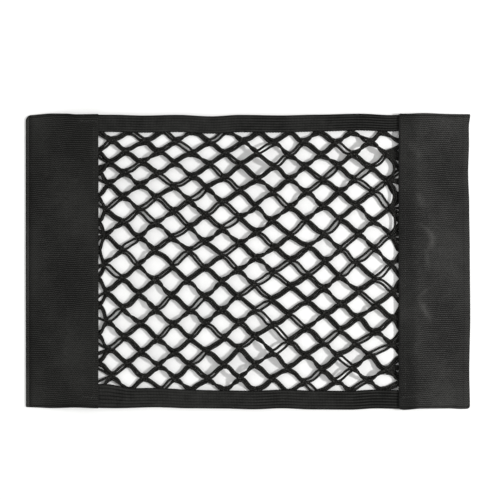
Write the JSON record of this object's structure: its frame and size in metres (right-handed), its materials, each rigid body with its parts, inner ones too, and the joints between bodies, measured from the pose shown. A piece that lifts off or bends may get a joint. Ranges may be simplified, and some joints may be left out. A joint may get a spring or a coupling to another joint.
{
  "type": "seat back storage net",
  "caption": "Flat elastic storage net: a diamond mesh of paired cords between two wide elastic bands, its long edges folded into ribbed tape.",
  "frame": {"origin": "on the surface that the net lies on, under the middle of the whole thing", "axes": "+X along the length from the left band to the right band, +Y up the height from the bottom binding to the top one, +Z out of the upper face"},
  "size_m": [0.39, 0.2597, 0.0065],
  "materials": {
    "left_band_webbing": "matt black woven elastic webbing with fine cross ribs",
    "right_band_webbing": "matt charcoal woven elastic webbing with fine cross ribs, lit a little lighter",
    "binding_tape": "matt black elastic tape with lengthwise ribs",
    "net_cord": "matt black elastic cord in a speckled knitted cover"
  },
  "bodies": {
    "root": {"left_band": "left_band_webbing", "right_band": "right_band_webbing", "top_binding": "binding_tape", "bottom_binding": "binding_tape", "net": "net_cord"}
  },
  "joints": []
}
